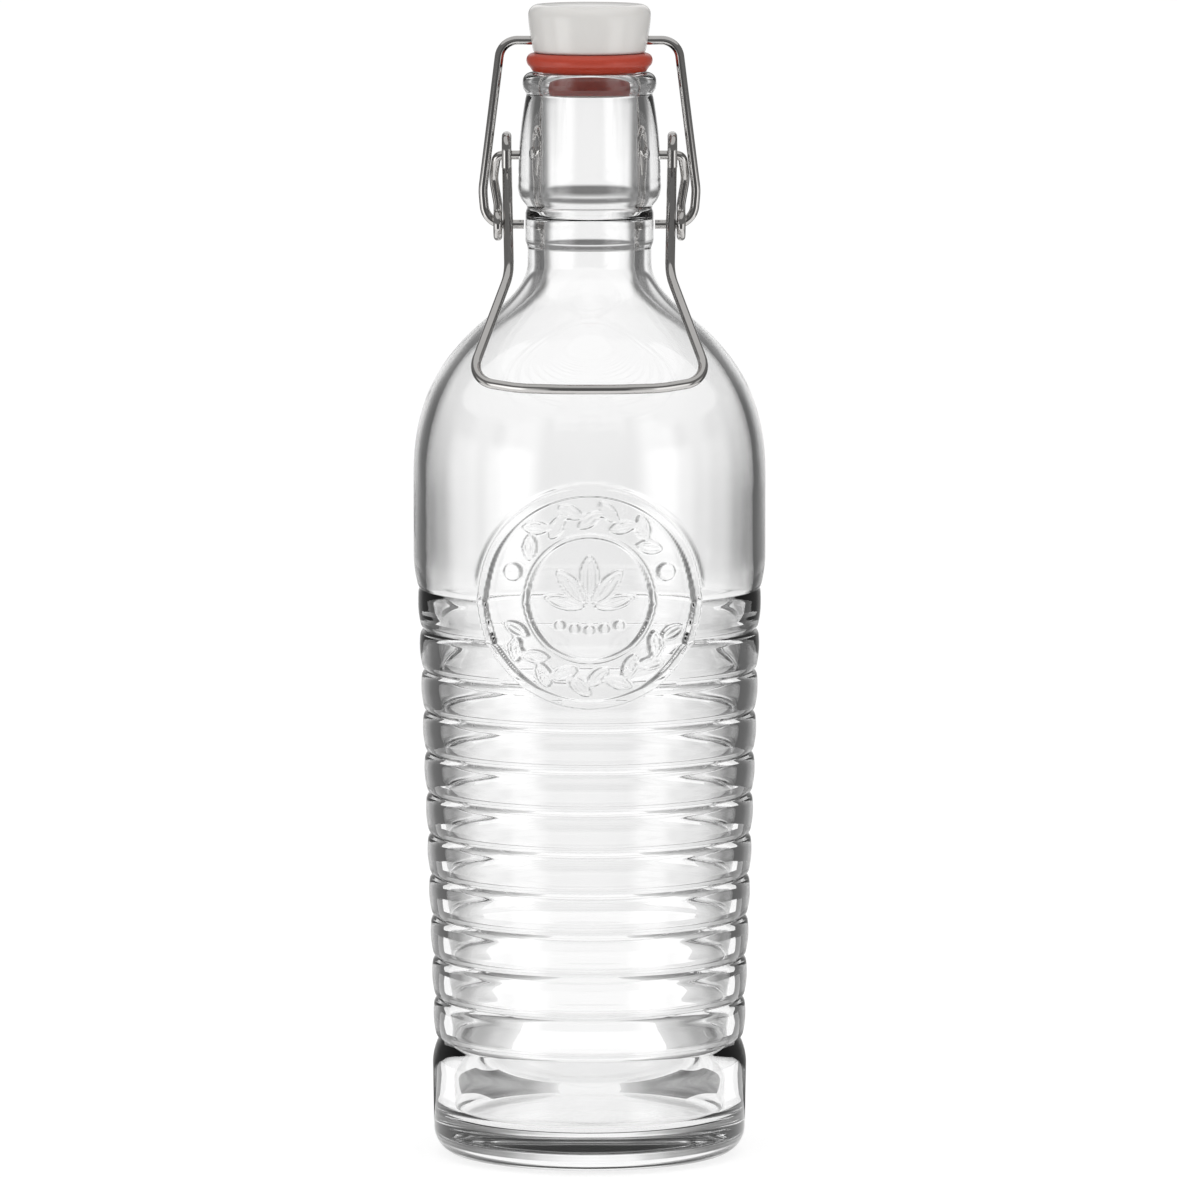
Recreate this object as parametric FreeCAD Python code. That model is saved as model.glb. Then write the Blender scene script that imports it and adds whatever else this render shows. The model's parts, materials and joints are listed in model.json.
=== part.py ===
import FreeCAD, Part
import math
import os

# Swing top bottle. Millimetres, +Z up, base on z = 0, front (handle, medallion) towards -Y.

os.makedirs("parts", exist_ok=True)

V = FreeCAD.Vector

# ---- driving dimensions: glass ----
BODY_R = 46.5            # smooth band under the shoulder
BODY_TOP_Z = 181.0       # top of that band, where the shoulder starts
BODY_LOW_Z = 158.8       # bottom of that band
WALL = 3.2               # side wall of the plain band and shoulder
RIB_WALL = 4.0           # side wall under the grooves
NECK_R = 16.3            # plain neck under the collar
COLLAR_R = 16.9
COLLAR_LOW_Z = 242.0
COLLAR_H = 7.9
BARREL_R = 18.8          # widest part of the barrel neck
BARREL_H = 29.6          # collar top to lip underside
LIP_R = 17.6
LIP_H = 5.5
BORE_R = 12.8            # bore of the barrel neck
THROAT_R = 12.0          # bore below the barrel
MOUTH_ROUND = 1.4        # rounding at the mouth's inner edge
RIB_COUNT = 11           # full ribs between the twelve grooves
RIB_PITCH = 10.92
RIB_SAG = 1.25           # how far a rib bulges past its grooves
GROOVE_TOP_Z = 150.6     # highest groove
RIB_TOP_DROP = 1.0       # crest of the highest rib inside the smooth band
RIB_LOW_DROP = 5.3       # crest of the lowest rib inside the smooth band
BASE_DROP = 4.9          # plain band at the base inside the smooth band
BASE_BAND_TOP_Z = 22.6
HEEL_R = 6.5             # rounding from side to base
BEARING_W = 4.0          # width of the flat ring the bottle stands on
PUSH_UP = 0.8            # recess inside that ring
FLOOR_Z = 10.0           # inside floor at its rim
FLOOR_RISE = 1.0         # dome of the inside floor
FLOOR_CURVE_R = 4.0      # rounding from the inside wall to the floor
SOCKET_DEPTH = 2.2       # side dimple for a pivot pin, below the barrel surface

# ---- driving dimensions: medallion ----
MED_R = 28.9
MED_Z = 152.3
MED_RIM_W = 2.2          # raised outer rim
MED_RELIEF = 0.6         # rim, ring and dots above the medallion's field
MED_RING_R = 17.0        # inner raised ring
MED_RING_W = 1.1
MED_DOT_R = 2.4
MED_DOT_X = 20.2
MED_DOT_DZ = 6.6

# ---- driving dimensions: closure ----
WIRE_YOKE = 2.4          # wire diameters
WIRE_HANDLE = 2.6
WIRE_CRANK = 2.4
HEAD_R = 16.1            # stopper head
HEAD_LOW_R = 14.6
HEAD_H = 13.1
STEM_R = 7.4             # stem that carries the gasket
NOSE_R = 9.4             # flange under the gasket
NOSE_H = 2.0
GASKET_R = 16.5
GASKET_H = 4.9           # part of the gasket above the lip
GASKET_PLUG_H = 4.2      # part of the gasket inside the mouth
GASKET_FOOT_R = 14.6     # outer edge of its sealing face
PLUG_R = 10.6            # part inside the mouth
PIVOT_DROP = 21.8        # lip top down to the lever's pivot
YOKE_PIVOT_UP = 4.55     # collar underside up to the yoke's pivot
CROSSBAR_UP = 3.25       # underside of the head up to the yoke's crossbar
YOKE_TOP_X = 23.2        # half width of the yoke at the crossbar's corners
YOKE_WIDE_X = 28.1       # half width where the arms are widest
YOKE_WIDE_UP = 9.0       # that place above the yoke's pivot
YOKE_LOW_X = 27.3        # half width at the lower corners
YOKE_TOP_TURN = 4.8      # bend radii of the yoke's corners, top to bottom
YOKE_WIDE_TURN = 14.0
YOKE_LOW_TURN = 5.3
EYE_R = 3.75             # centreline radius of the handle's hook eye
EYE_X = 21.8
LOW_EYE_R = 3.2          # centreline radius of the side wire's lower eye
LOW_EYE_X = 24.1
CRANK_TOP_X = 24.45      # corner of the side wire outside the hook eye
CRANK_MID_X = 25.3       # its bend between the two eyes
CRANK_MID_Y = 2.6
CRANK_MID_DROP = 6.3
HANDLE_HALF_W = 29.9     # half width of the handle's loop
HANDLE_BAR_DROP = 35.4   # collar underside down to the bottom bar
CORNER_OUT = 0.487       # how far forward the loop's corners, the bar's ends and its middle reach,
BAR_END_OUT = 0.752      # as shares of the way from the neck's radius to the body's
BAR_OUT = 0.881

# ---- named clearances ----
GAP_SEAL = 0.25          # gasket over the lip
GAP_GLASS = 0.35         # wire to glass
GAP_HOLE = 0.15          # yoke wire in the head's hole, radial
GAP_STEM = 0.03          # gasket on its stem, radial
GAP_SOCKET = 0.3         # pivot pin in its glass dimple, radial

# ---- derived radii ----
RIB_TOP_R = BODY_R - RIB_TOP_DROP
RIB_LOW_R = BODY_R - RIB_LOW_DROP
BASE_R = BODY_R - BASE_DROP
MED_FIELD_R = BODY_R - MED_RELIEF

# ---- derived heights ----
COLLAR_TOP_Z = COLLAR_LOW_Z + COLLAR_H
LIP_LOW_Z = COLLAR_TOP_Z + BARREL_H + 1.6
LIP_TOP_Z = LIP_LOW_Z + LIP_H
PIVOT_Z = LIP_TOP_Z - PIVOT_DROP
YOKE_PIVOT_Z = COLLAR_LOW_Z + YOKE_PIVOT_UP
HANDLE_BAR_Z = COLLAR_LOW_Z - HANDLE_BAR_DROP
GASKET_LOW_Z = LIP_TOP_Z + GAP_SEAL
HEAD_LOW_Z = GASKET_LOW_Z + GASKET_H
HEAD_TOP_Z = HEAD_LOW_Z + HEAD_H
CROSSBAR_Z = HEAD_LOW_Z + CROSSBAR_UP
NOSE_TOP_Z = LIP_TOP_Z - GASKET_PLUG_H
GROOVE_LOW_Z = GROOVE_TOP_Z - RIB_PITCH * RIB_COUNT
NECK_END_Z = COLLAR_LOW_Z - 5.6
SHOULDER_SLOPE = math.radians(40)


def pt(r, z):
    return V(r, 0, z)


def forward(share):
    """Y of a point in front of the axis, that share of the way from the neck's radius to the body's."""
    return -(NECK_R + share * (BODY_R - NECK_R))


def line(a, b):
    return Part.LineSegment(a, b).toShape()


def arc(a, m, b):
    return Part.Arc(a, m, b).toShape()


def curve(points, start=None, end=None):
    spline = Part.BSplineCurve()
    if start is None:
        spline.interpolate(points)
    else:
        spline.interpolate(Points=points, InitialTangent=start, FinalTangent=end)
    return spline.toShape()


def cap(r, z_edge, z_top):
    """Shallow spherical dome from (r, z_edge) to the axis at z_top."""
    rise = z_top - z_edge
    ball = (r * r + rise * rise) / (2 * rise)
    half = math.asin(r / abs(ball)) / 2
    mid = pt(abs(ball) * math.sin(half), z_top - ball * (1 - math.cos(half)))
    return arc(pt(r, z_edge), mid, pt(0, z_top))


def bezier(poles):
    c = Part.BezierCurve()
    c.setPoles(poles)
    return c.toShape()


def shoulder_mid():
    """Where the outside of the shoulder turns from hollow to full."""
    return pt(NECK_R + 0.38 * (BODY_R - NECK_R), NECK_END_Z - 0.273 * (NECK_END_Z - BODY_TOP_Z))


def shoulder(top, low, mid):
    """S-curve from a vertical run at top, through mid at the shoulder's slope, to a vertical run at low."""
    along = pt(math.cos(SHOULDER_SLOPE), -math.sin(SHOULDER_SLOPE))
    before = (mid.x - top.x) * 0.67
    after = (low.x - mid.x) * 0.78
    upper = [top, top - pt(0, (top.z - mid.z) * 0.345), mid - along * before, mid]
    lower = [mid, mid + along * after, low + pt(0, (mid.z - low.z) * 0.484), low]
    return [bezier(upper), bezier(lower)]


def turn(edges):
    """Solid of revolution about Z from a closed chain of edges in the XZ plane."""
    face = Part.Face(Part.Wire(edges))
    return face.revolve(V(0, 0, 0), V(0, 0, 1), 360)


def crest_r(z):
    """Crest radius of the ribs at height z: the body tapers towards the base."""
    t = (GROOVE_TOP_Z - z) / (GROOVE_TOP_Z - GROOVE_LOW_Z)
    return RIB_TOP_R + (RIB_LOW_R - RIB_TOP_R) * t


# ---- glass bottle ----
def outer_edges():
    """Outside of the bottle from the mouth down to the base centre."""
    e = []
    # lip: flat sealing top, rounded outside
    a = pt(BORE_R + MOUTH_ROUND, LIP_TOP_Z)
    b = pt(LIP_R - 2.2, LIP_TOP_Z)
    c = pt(LIP_R, LIP_TOP_Z - 2.4)
    e.append(line(a, b))
    e.append(arc(b, pt(LIP_R - 0.6, LIP_TOP_Z - 0.8), c))
    d = pt(LIP_R - 0.9, LIP_LOW_Z)
    e.append(arc(c, pt(LIP_R - 0.15, LIP_LOW_Z + 1.3), d))
    # barrel: swells towards its lower end, then rounds in to a small ledge
    ledge_z = COLLAR_TOP_Z + 2.2
    top_r = BARREL_R - 1.8
    f = pt(top_r, LIP_LOW_Z - 1.0)
    e.append(line(d, f))
    g = pt(BARREL_R, ledge_z + 5.6)
    e.append(curve([f, pt(BARREL_R - 0.75, LIP_LOW_Z - 8.0), pt(BARREL_R - 0.1, g.z + 7.0), g],
                   V(0.2, 0, -1), V(0, 0, -1)))
    h = pt(BARREL_R - 1.7, ledge_z)
    e.append(arc(g, pt(BARREL_R - 0.4, ledge_z + 2.0), h))
    i = pt(COLLAR_R - 0.5, ledge_z - 1.0)
    j = pt(COLLAR_R, COLLAR_TOP_Z)
    e.append(line(h, i))
    e.append(line(i, j))
    # collar
    k = pt(COLLAR_R, COLLAR_LOW_Z)
    m = pt(NECK_R, COLLAR_LOW_Z - 1.2)
    e.append(line(j, k))
    e.append(arc(k, pt(NECK_R + 0.42, COLLAR_LOW_Z - 0.85), m))
    # neck and shoulder
    n = pt(NECK_R, NECK_END_Z)
    e.append(line(m, n))
    e += shoulder(n, pt(BODY_R, BODY_TOP_Z), shoulder_mid())
    # plain band, then the step down to the first groove
    o = pt(BODY_R, BODY_LOW_Z)
    e.append(line(pt(BODY_R, BODY_TOP_Z), o))
    last = pt(crest_r(GROOVE_TOP_Z) - RIB_SAG, GROOVE_TOP_Z)
    e.append(arc(o, pt(BODY_R - 0.62, (BODY_LOW_Z + GROOVE_TOP_Z) / 2 + 0.6), last))
    # ribs: shallow arcs that meet in sharp grooves
    for n_rib in range(RIB_COUNT):
        z1 = GROOVE_TOP_Z - RIB_PITCH * (n_rib + 1)
        zm = z1 + RIB_PITCH / 2
        nxt = pt(crest_r(z1) - RIB_SAG, z1)
        e.append(arc(last, pt(crest_r(zm), zm), nxt))
        last = nxt
    # base band, heel and push-up
    p = pt(BASE_R, BASE_BAND_TOP_Z)
    e.append(arc(last, pt(BASE_R - 0.45, (last.z + p.z) / 2 + 0.8), p))
    q = pt(BASE_R - 0.3, HEEL_R)
    e.append(line(p, q))
    s = q.x - HEEL_R
    q45 = HEEL_R * math.sqrt(0.5)
    e.append(arc(q, pt(s + q45, HEEL_R - q45), pt(s, 0)))
    t = pt(s - BEARING_W, 0)
    e.append(line(pt(s, 0), t))
    e.append(cap(t.x, 0, PUSH_UP))
    return e


def cavity():
    """The hollow inside, from the mouth to the floor."""
    e = []
    top = pt(0, LIP_TOP_Z + 1)
    a = pt(BORE_R + MOUTH_ROUND, LIP_TOP_Z + 1)
    b = pt(BORE_R + MOUTH_ROUND, LIP_TOP_Z)
    c = pt(BORE_R, LIP_TOP_Z - MOUTH_ROUND)
    corner = MOUTH_ROUND * (1 - math.sqrt(0.5))
    e.append(line(top, a))
    e.append(line(a, b))
    e.append(arc(b, pt(BORE_R + corner, LIP_TOP_Z - corner), c))
    bore_low = pt(BORE_R, COLLAR_TOP_Z)
    throat_top = pt(THROAT_R, COLLAR_LOW_Z + 2.0)
    d = pt(THROAT_R, COLLAR_LOW_Z - 6.0)
    e.append(line(c, bore_low))
    e.append(line(bore_low, throat_top))
    e.append(line(throat_top, d))
    low = BODY_R - WALL
    top_z = BODY_TOP_Z - 1.5
    mid = shoulder_mid() - pt(math.sin(SHOULDER_SLOPE), math.cos(SHOULDER_SLOPE)) * WALL
    e += shoulder(d, pt(low, top_z), mid)
    g = pt(low, BODY_LOW_Z)
    e.append(line(pt(low, top_z), g))
    h = pt(RIB_TOP_R - RIB_SAG - RIB_WALL, GROOVE_TOP_Z - RIB_PITCH)
    e.append(line(g, h))
    foot_r = RIB_LOW_R - RIB_SAG - RIB_WALL
    i = pt(foot_r, FLOOR_Z + FLOOR_CURVE_R)
    e.append(line(h, i))
    j = pt(foot_r - FLOOR_CURVE_R, FLOOR_Z)
    q45 = FLOOR_CURVE_R * (1 - math.sqrt(0.5))
    e.append(arc(i, pt(foot_r - q45, FLOOR_Z + q45), j))
    k = pt(0, FLOOR_Z + FLOOR_RISE)
    e.append(cap(j.x, FLOOR_Z, FLOOR_Z + FLOOR_RISE))
    e.append(line(k, top))
    return turn(e)


def medallion():
    """Raised round plaque on the front, following the curve of the body."""
    low = MED_Z - MED_R - 1
    high = MED_Z + MED_R + 1
    inner = RIB_TOP_R - RIB_SAG - WALL + 0.8

    def shell(r):
        tube = Part.makeCylinder(r, high - low, V(0, 0, low))
        return tube.cut(Part.makeCylinder(inner, high - low, V(0, 0, low)))

    def disc(r, x=0.0, z=MED_Z):
        return Part.makeCylinder(r, BODY_R + 5, V(x, 0, z), V(0, -1, 0))

    field = shell(MED_FIELD_R).common(disc(MED_R))
    proud = shell(BODY_R)
    rim = proud.common(disc(MED_R).cut(disc(MED_R - MED_RIM_W)))
    ring = proud.common(disc(MED_RING_R).cut(disc(MED_RING_R - MED_RING_W)))
    dots = [proud.common(disc(MED_DOT_R, x, MED_Z + MED_DOT_DZ)) for x in (-MED_DOT_X, MED_DOT_X)]
    return field.fuse([rim, ring] + dots)


def glass_bottle():
    outer = outer_edges()
    first = outer[0].Vertexes[0].Point
    last = pt(0, PUSH_UP)
    body = turn(outer + [line(last, pt(0, LIP_TOP_Z)), line(pt(0, LIP_TOP_Z), first)])
    # shallow round bed so that the field of the medallion is level across the plain band
    bed = Part.makeCylinder(MED_R, BODY_R + 5, V(0, 0, MED_Z), V(0, -1, 0))
    tube = Part.makeCylinder(BODY_R + 1, 2 * MED_R + 2, V(0, 0, MED_Z - MED_R - 1))
    tube = tube.cut(Part.makeCylinder(MED_FIELD_R, 2 * MED_R + 2, V(0, 0, MED_Z - MED_R - 1)))
    body = body.cut(bed.common(tube))
    body = body.fuse(medallion())
    body = body.cut(cavity())
    # side dimples for the lever's pivot pins
    r = WIRE_CRANK / 2 + GAP_SOCKET
    for side in (-1, 1):
        start = V(side * (BARREL_R - SOCKET_DEPTH), 0, PIVOT_Z)
        body = body.cut(Part.makeCylinder(r, SOCKET_DEPTH + 2, start, V(side, 0, 0)))
    return body


# ---- stopper and gasket ----
def stopper():
    e = []
    z = HEAD_TOP_Z
    a = pt(0, z)
    b = pt(HEAD_R - 3.0, z - 0.4)
    c = pt(HEAD_R, z - 3.2)
    d = pt(HEAD_LOW_R + 0.35, HEAD_LOW_Z + 1.0)
    f = pt(HEAD_LOW_R - 0.5, HEAD_LOW_Z)
    g = pt(STEM_R, HEAD_LOW_Z)
    h = pt(STEM_R, NOSE_TOP_Z)
    i = pt(NOSE_R, NOSE_TOP_Z)
    j = pt(NOSE_R - 0.2, NOSE_TOP_Z - 0.6)
    k = pt(NOSE_R - 2.0, NOSE_TOP_Z - NOSE_H)
    m = pt(0, NOSE_TOP_Z - NOSE_H)
    e.append(cap(b.x, b.z, z))
    e.append(arc(b, pt(HEAD_R - 0.75, z - 1.15), c))
    e.append(curve([c, pt(HEAD_R - 0.45, z - 7.5), d]))
    e.append(arc(d, pt(HEAD_LOW_R + 0.05, HEAD_LOW_Z + 0.3), f))
    e.append(line(f, g))
    e.append(line(g, h))
    e.append(line(h, i))
    e.append(line(i, j))
    e.append(arc(j, pt(NOSE_R - 0.8, NOSE_TOP_Z - NOSE_H + 0.4), k))
    e.append(line(k, m))
    e.append(line(m, a))
    body = turn(e)
    r = WIRE_YOKE / 2 + GAP_HOLE
    hole = Part.makeCylinder(r, 4 * HEAD_R, V(-2 * HEAD_R, 0, CROSSBAR_Z), V(1, 0, 0))
    return body.cut(hole)


def gasket():
    inner = STEM_R + GAP_STEM
    low = GASKET_LOW_Z
    top = HEAD_LOW_Z - GAP_STEM
    bottom = NOSE_TOP_Z + GAP_STEM
    e = []
    a = pt(inner, top)
    b = pt(GASKET_R - 1.5, top)
    c = pt(GASKET_R - 0.4, low + 4.1)
    d = pt(GASKET_R - 0.6, low + 2.1)
    f = pt(GASKET_FOOT_R + 0.3, low + 0.3)
    g = pt(GASKET_FOOT_R, low)
    h = pt(BORE_R + 0.4, low)
    i = pt(PLUG_R + 0.6, low - 1.0)
    j = pt(PLUG_R, bottom)
    k = pt(inner, bottom)
    e.append(line(a, b))
    e.append(line(b, c))
    e.append(arc(c, pt(GASKET_R, low + 3.2), d))
    e.append(line(d, f))
    e.append(line(f, g))
    e.append(line(g, h))
    e.append(line(h, i))
    e.append(line(i, j))
    e.append(line(j, k))
    e.append(line(k, a))
    return turn(e)


# ---- bent wires ----
def bend_path(points, radii):
    """Wire of straight runs joined by arcs: radii has one entry per inner point."""
    edges = []
    here = points[0]
    for n in range(1, len(points) - 1):
        p = points[n]
        back = (points[n - 1] - p).normalize()
        ahead = (points[n + 1] - p).normalize()
        half = back.getAngle(ahead) / 2
        reach = radii[n - 1] / math.tan(half)
        a = p + back * reach
        b = p + ahead * reach
        mid = (back + ahead).normalize()
        m = p + mid * (radii[n - 1] / math.sin(half) - radii[n - 1])
        if (a - here).Length > 0.01:
            edges.append(line(here, a))
        edges.append(arc(a, m, b))
        here = b
    edges.append(line(here, points[-1]))
    return edges


def sweep(edges, d):
    """Round wire of diameter d along a smooth chain of edges."""
    path = Part.Wire(edges)
    first = path.OrderedEdges[0]
    start = first.valueAt(first.FirstParameter)
    away = first.tangentAt(first.FirstParameter)
    ring = Part.Wire(Part.makeCircle(d / 2, start, away))
    return path.makePipeShell([ring], True, False)


def mirror_points(points):
    return [V(-p.x, p.y, p.z) for p in points]


def yoke_wire():
    """Crossbar through the head, two arms down the neck, two inward pins in the lower eyes."""
    end_x = COLLAR_R + GAP_GLASS
    side = [
        V(YOKE_TOP_X, 0, CROSSBAR_Z),
        V(YOKE_WIDE_X, 0, YOKE_PIVOT_Z + YOKE_WIDE_UP),
        V(YOKE_LOW_X, 0, YOKE_PIVOT_Z),
        V(end_x, 0, YOKE_PIVOT_Z),
    ]
    left = mirror_points(side)
    points = list(reversed(left)) + side
    radii = [YOKE_LOW_TURN, YOKE_WIDE_TURN, YOKE_TOP_TURN, YOKE_TOP_TURN, YOKE_WIDE_TURN, YOKE_LOW_TURN]
    return sweep(bend_path(points, radii), WIRE_YOKE)


def hook_eye(side):
    """Open eye at the top of a handle arm, in the plane x = EYE_X, and the arm's slope."""
    centre = V(side * EYE_X, 0, PIVOT_Z + EYE_R - WIRE_HANDLE / 2 - WIRE_CRANK / 2 - 0.05)
    slope = math.radians(20.2)
    down = V(0, -math.sin(slope), -math.cos(slope))
    back = V(0, math.cos(slope), -math.sin(slope))
    return centre, down, back


def handle_wire():
    """Front lever: a hook eye each side, arms that lean forward, a loop over the shoulder."""
    half = []
    for side in (-1, 1):
        centre, down, back = hook_eye(side)
        tangent = centre + back * EYE_R
        top = centre + V(0, 0, EYE_R)
        front = centre + V(0, -EYE_R, 0)
        tip = front + V(0, 0.3, -4.3)
        mid1 = centre + (back + V(0, 0, 1)).normalize() * EYE_R
        mid2 = centre + (V(0, -1, 0) + V(0, 0, 1)).normalize() * EYE_R
        hook = [line(tip, front), arc(front, mid2, top), arc(top, mid1, tangent)]
        half.append((hook, tangent, down))
    left_hook, left_start, down = half[0]
    right_hook, right_start, _ = half[1]
    bend_z = COLLAR_LOW_Z - 8.0
    reach = (left_start.z - bend_z) / -down.z
    bend = right_start + down * reach
    bend.x = EYE_X - 0.7
    # the flare's corner is rounded, so its sharp vertex lies outside the loop's half width
    corner_r = 9.0
    corner = V(HANDLE_HALF_W + 1.5, forward(CORNER_OUT), HANDLE_BAR_Z + 1.4)
    bar_end = V(18.5, forward(BAR_END_OUT), HANDLE_BAR_Z)
    bar = V(7.0, forward(BAR_OUT), HANDLE_BAR_Z)
    right = [right_start, bend, corner, bar_end, bar]
    left = mirror_points(right)
    points = left + list(reversed(right))
    radii = [14.0, corner_r, 25.0, 25.0, 25.0, 25.0, corner_r, 14.0]
    run = bend_path(points, radii)
    back_hook = [right_hook[2], right_hook[1], right_hook[0]]
    return sweep(left_hook + run + back_hook, WIRE_HANDLE)


def crank_wire(side):
    """Side wire: pivot pin in the glass, out through the hook eye, down to the lower eye."""
    start = V(BARREL_R - SOCKET_DEPTH + 0.35, 0, PIVOT_Z)
    centre = V(LOW_EYE_X, 0, YOKE_PIVOT_Z)
    enter = centre + V(0, LOW_EYE_R, 0)
    points = [
        start,
        V(CRANK_TOP_X, 0, PIVOT_Z),
        V(CRANK_MID_X, CRANK_MID_Y, PIVOT_Z - CRANK_MID_DROP),
        V(LOW_EYE_X, LOW_EYE_R, YOKE_PIVOT_Z + 5.0),
        enter,
    ]
    radii = [1.9, 7.0, 6.0]
    edges = bend_path(points, radii)
    gap = math.radians(20)
    low = centre + V(0, 0, -LOW_EYE_R)
    front = centre + V(0, -LOW_EYE_R, 0)
    m1 = centre + V(0, 1, -1).normalize() * LOW_EYE_R
    m2 = centre + V(0, -1, -1).normalize() * LOW_EYE_R
    end_angle = math.pi / 2 - gap
    last = centre + V(0, -math.cos(end_angle), math.sin(end_angle)) * LOW_EYE_R
    m3 = centre + V(0, -math.cos(end_angle / 2), math.sin(end_angle / 2)) * LOW_EYE_R
    edges += [arc(enter, m1, low), arc(low, m2, front), arc(front, m3, last)]
    wire = sweep(edges, WIRE_CRANK)
    if side < 0:
        wire = wire.mirror(V(0, 0, 0), V(1, 0, 0))
    return wire


nodes = {
    "glass_bottle": glass_bottle(),
    "stopper": stopper(),
    "gasket": gasket(),
    "yoke_wire": yoke_wire(),
    "handle_wire": handle_wire(),
    "left_crank": crank_wire(-1),
    "right_crank": crank_wire(1),
}

for name, shape in nodes.items():
    solids = shape.Solids
    box = shape.BoundBox
    print(name, "valid", shape.isValid(), "solids", len(solids), "volume", round(shape.Volume),
          "box", [round(v, 2) for v in (box.XMin, box.YMin, box.ZMin, box.XMax, box.YMax, box.ZMax)])
    shape = solids[0] if len(solids) == 1 else shape
    shape.exportStep("parts/" + name + ".step")
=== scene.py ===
# %% [markdown]
# Swing top bottle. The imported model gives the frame: where every part is and how it moves.
# This lesson builds what the eye sees on that frame: clear ribbed glass, a white stopper on an
# orange-red gasket and the bright wires that clamp it down.

# %% Load the frame
import bpy
import json
import math
import numpy as np
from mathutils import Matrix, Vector

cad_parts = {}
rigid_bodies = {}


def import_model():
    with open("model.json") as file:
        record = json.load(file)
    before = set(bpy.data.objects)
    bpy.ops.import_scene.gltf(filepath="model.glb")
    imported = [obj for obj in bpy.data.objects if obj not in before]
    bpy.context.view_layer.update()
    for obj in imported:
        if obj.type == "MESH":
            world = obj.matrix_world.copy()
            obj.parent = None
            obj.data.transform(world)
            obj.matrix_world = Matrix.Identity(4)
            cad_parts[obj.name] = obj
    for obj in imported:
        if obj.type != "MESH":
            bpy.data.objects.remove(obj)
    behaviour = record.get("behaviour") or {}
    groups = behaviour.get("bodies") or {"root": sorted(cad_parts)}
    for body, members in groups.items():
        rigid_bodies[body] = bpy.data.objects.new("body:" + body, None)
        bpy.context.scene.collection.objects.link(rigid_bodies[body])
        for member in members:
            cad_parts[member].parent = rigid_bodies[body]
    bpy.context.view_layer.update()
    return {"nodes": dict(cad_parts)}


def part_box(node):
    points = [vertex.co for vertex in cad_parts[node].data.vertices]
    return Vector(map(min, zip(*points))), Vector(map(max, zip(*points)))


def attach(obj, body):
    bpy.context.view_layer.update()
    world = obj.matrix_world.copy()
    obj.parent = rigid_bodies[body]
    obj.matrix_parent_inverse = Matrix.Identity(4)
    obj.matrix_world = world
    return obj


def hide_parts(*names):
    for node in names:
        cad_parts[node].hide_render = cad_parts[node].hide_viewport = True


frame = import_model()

print("nodes", sorted(frame["nodes"]))

# %% [markdown]
# Sizes are written in millimetres, as on a drawing, and turned to metres in one place.
# The heights of the lip, the head and the gasket come from the frame's own boxes. The other
# sizes are the solids' own, written again where each piece is made.

# %% Units and heights
MM = 0.001

LIP_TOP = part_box("glass_bottle")[1].z / MM
HEAD_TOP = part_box("stopper")[1].z / MM
PLUG_LOW, GASKET_TOP = (corner.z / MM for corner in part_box("gasket"))
print("lip at", round(LIP_TOP, 2), "mm, top of the head at", round(HEAD_TOP, 2), "mm")

# %% [markdown]
# Operators act on whatever is selected, and the frame arrives selected. Small helpers clear
# the selection, make one object the active one, as a click would by hand, and count triangles.

# %% Selection helpers
def clear_selection():
    if bpy.context.object and bpy.context.object.mode != "OBJECT":
        bpy.ops.object.mode_set(mode="OBJECT")
    bpy.ops.object.select_all(action="DESELECT")


def pick(piece):
    clear_selection()
    piece.select_set(True)
    bpy.context.view_layer.objects.active = piece


def triangles(piece):
    return sum(len(p.vertices) - 2 for p in piece.data.polygons)


clear_selection()

# %% [markdown]
# Profiles are drawn as points (radius, height). Four pens are enough: an arc through three
# points, a Bezier curve with four poles, a straight run in even steps, and a corner that is
# rounded off. A curve object could be drawn by hand instead; points keep every size readable.

# %% Pens for profiles
def arc(a, m, b, steps):
    """Points on the circle through a, m and b, without a itself."""
    ax, ay, mx, my, bx, by = *a, *m, *b
    d = 2 * (ax * (my - by) + mx * (by - ay) + bx * (ay - my))
    cx = ((ax**2 + ay**2) * (my - by) + (mx**2 + my**2) * (by - ay) + (bx**2 + by**2) * (ay - my)) / d
    cy = ((ax**2 + ay**2) * (bx - mx) + (mx**2 + my**2) * (ax - bx) + (bx**2 + by**2) * (mx - ax)) / d
    r = math.hypot(ax - cx, ay - cy)
    start = math.atan2(ay - cy, ax - cx)
    full = 2 * math.pi
    to_mid = (math.atan2(my - cy, mx - cx) - start) % full
    to_end = (math.atan2(by - cy, bx - cx) - start) % full
    sweep = to_end if to_mid < to_end else to_end - full
    turns = [start + sweep * k / steps for k in range(1, steps + 1)]
    return [(cx + r * math.cos(t), cy + r * math.sin(t)) for t in turns]


def bezier(a, b, c, d, steps):
    """Points on a cubic Bezier curve, without its first point."""
    out = []
    for k in range(1, steps + 1):
        t = k / steps
        w = ((1 - t) ** 3, 3 * t * (1 - t) ** 2, 3 * t * t * (1 - t), t**3)
        out.append(tuple(sum(wi * p[i] for wi, p in zip(w, (a, b, c, d))) for i in (0, 1)))
    return out


def straight(a, b, steps):
    """Evenly spaced points from a to b, without a itself."""
    shares = [k / steps for k in range(1, steps + 1)]
    return [tuple(a[i] + (b[i] - a[i]) * share for i in (0, 1)) for share in shares]


def rounded(points, cut, steps=4):
    """The inner corners of a run of points, each rounded off over cut millimetres."""
    out = [points[0]]
    for before, at, after in zip(points, points[1:], points[2:]):
        ins, outs = [], []
        for other, store in ((before, ins), (after, outs)):
            length = math.dist(at, other)
            share = min(cut, length * 0.48) / length
            store.append((at[0] + (other[0] - at[0]) * share, at[1] + (other[1] - at[1]) * share))
        p, q = ins[0], outs[0]
        for k in range(steps + 1):
            t = k / steps
            out.append(tuple((1 - t) ** 2 * p[i] + 2 * t * (1 - t) * at[i] + t * t * q[i] for i in (0, 1)))
    out.append(points[-1])
    return out


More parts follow.
